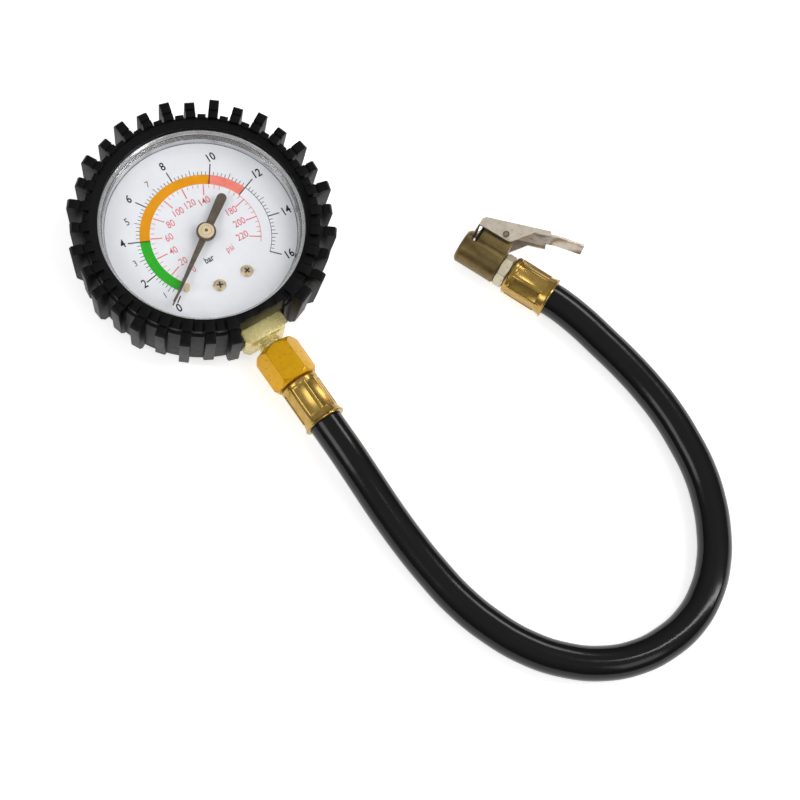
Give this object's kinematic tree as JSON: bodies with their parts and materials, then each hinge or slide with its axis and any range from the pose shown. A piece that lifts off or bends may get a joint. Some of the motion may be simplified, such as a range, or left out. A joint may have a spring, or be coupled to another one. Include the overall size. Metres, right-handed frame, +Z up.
{
  "type": "tyre pressure gauge",
  "caption": "Dial gauge in a lugged rubber boot, with a short rubber hose and a clip-on tyre chuck worked by a squeeze lever.",
  "frame": {"origin": "centre of the boot's flat back, on the surface that the gauge lies on", "axes": "+Z up out of the dial's face; the stem points along -Y; the chuck lies towards +X and -Y"},
  "size_m": [0.1719, 0.2676, 0.029],
  "materials": {
    "boot_rubber": "matte moulded rubber",
    "case_steel": "bright pressed steel",
    "zinc_steel": "zinc plated",
    "black_rubber": "matte",
    "clear_lens": "clear polished plastic",
    "dial_white": "matte white print",
    "brass": "bright turned brass",
    "pale_brass": "pale sawn brass",
    "golden_brass": "golden machined brass",
    "aged_brass": "dull antique brass",
    "nickel_brass": "nickel plated",
    "nickel_steel": "nickel plated sheet",
    "pointer_metal": "dark satin metal",
    "hose_rubber": "glossy black rubber"
  },
  "bodies": {
    "gauge": {"boot": "boot_rubber", "case": "case_steel", "case_screws": "zinc_steel", "blowout_plug": "black_rubber", "bezel": "case_steel", "lens": "clear_lens", "dial": "dial_white", "dial_screws": "brass", "stop_pin": "brass", "back_plate": "brass", "front_plate": "brass", "pillars": "brass", "movement_screws": "zinc_steel", "hairspring": "zinc_steel", "bourdon_tube": "brass", "tube_tip": "brass", "socket": "pale_brass", "seal_washer": "black_rubber", "adapter_nut": "golden_brass", "barb_gauge": "brass", "hose_end_gauge": "hose_rubber", "ferrule_gauge": "brass", "hose": "hose_rubber", "ferrule_chuck": "brass", "hose_end_chuck": "hose_rubber", "barb_chuck": "nickel_brass", "chuck_body": "aged_brass", "chuck_seal": "black_rubber", "core_depressor": "brass", "lever_pin": "nickel_steel", "lever_spring": "zinc_steel"},
    "pointer_group": {"pointer": "pointer_metal", "pointer_cap": "brass", "pinion": "brass"},
    "sector": {"sector_gear": "brass"},
    "link_rod": {"link": "zinc_steel"},
    "lever_body": {"lever": "nickel_steel"}
  },
  "joints": [
    {"name": "sector_turn", "type": "hinge", "parent": "gauge", "child": "sector", "pos_m": [0, -0.0126, 0.0103], "axis": [0, 0, 1], "range_deg": [0, 43.67], "stiffness_Nm_per_rad": 0.001},
    {"name": "pointer_turn", "type": "hinge", "parent": "gauge", "child": "pointer_group", "pos_m": [0, 0, 0.0205], "axis": [0, 0, 1], "range_deg": [-263, 1]},
    {"name": "link_swing", "type": "hinge", "parent": "sector", "child": "link_rod", "pos_m": [0.005, -0.0126, 0.0113], "axis": [0, 0, 1], "range_deg": [-44.67, 1]},
    {"name": "lever_squeeze", "type": "hinge", "parent": "gauge", "child": "lever_body", "pos_m": [0.09813, -0.05291, 0.008], "axis": [0, 0, 1], "range_deg": [-9, 0], "stiffness_Nm_per_rad": 0.05, "springref_deg": 8.59}
  ],
  "couplings": [
    {"joint": "pointer_turn", "follows": "sector_turn", "ratio": -6},
    {"joint": "link_swing", "follows": "sector_turn", "ratio": -1}
  ]
}
